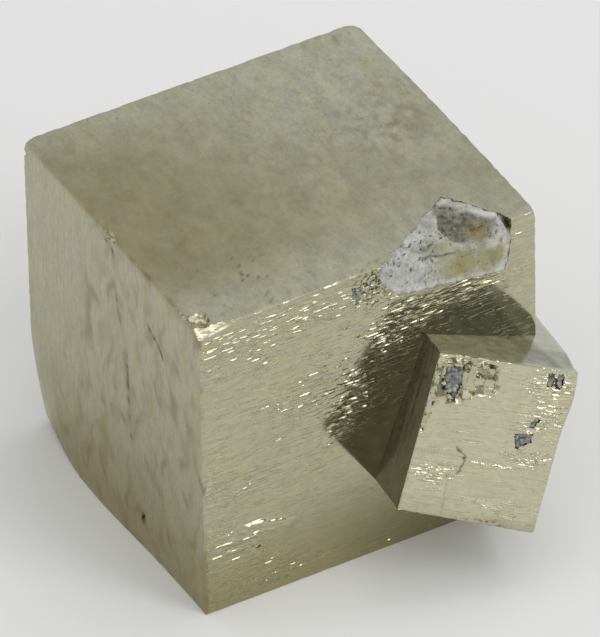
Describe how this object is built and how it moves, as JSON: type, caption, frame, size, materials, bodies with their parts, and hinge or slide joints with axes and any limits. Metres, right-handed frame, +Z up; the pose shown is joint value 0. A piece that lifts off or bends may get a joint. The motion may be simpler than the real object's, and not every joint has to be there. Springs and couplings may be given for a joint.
{
  "type": "pyrite crystal specimen",
  "caption": "Large brassy cube crystal with fine growth lines, a smaller tilted cube grown into its front face and a marl-lined notch on its upper edge.",
  "frame": {"origin": "middle of the large crystal's lower face, where the specimen rests", "axes": "+Z up, -Y the front where the small crystal grows, +X the viewer's right"},
  "size_m": [0.0342, 0.04, 0.03],
  "materials": {
    "pyrite_large": "gloss",
    "pyrite_small": "gloss",
    "marl_crust": "matte",
    "marl_grey": "matte"
  },
  "bodies": {
    "root": {"large_crystal": "pyrite_large", "small_crystal": "pyrite_small", "notch_matrix": "marl_crust", "face_fill": "marl_grey", "corner_fill_left": "marl_grey", "corner_fill_right": "marl_grey", "wedge_fill": "marl_grey", "streak_fill": "marl_grey", "edge_speck": "marl_grey"}
  },
  "joints": []
}
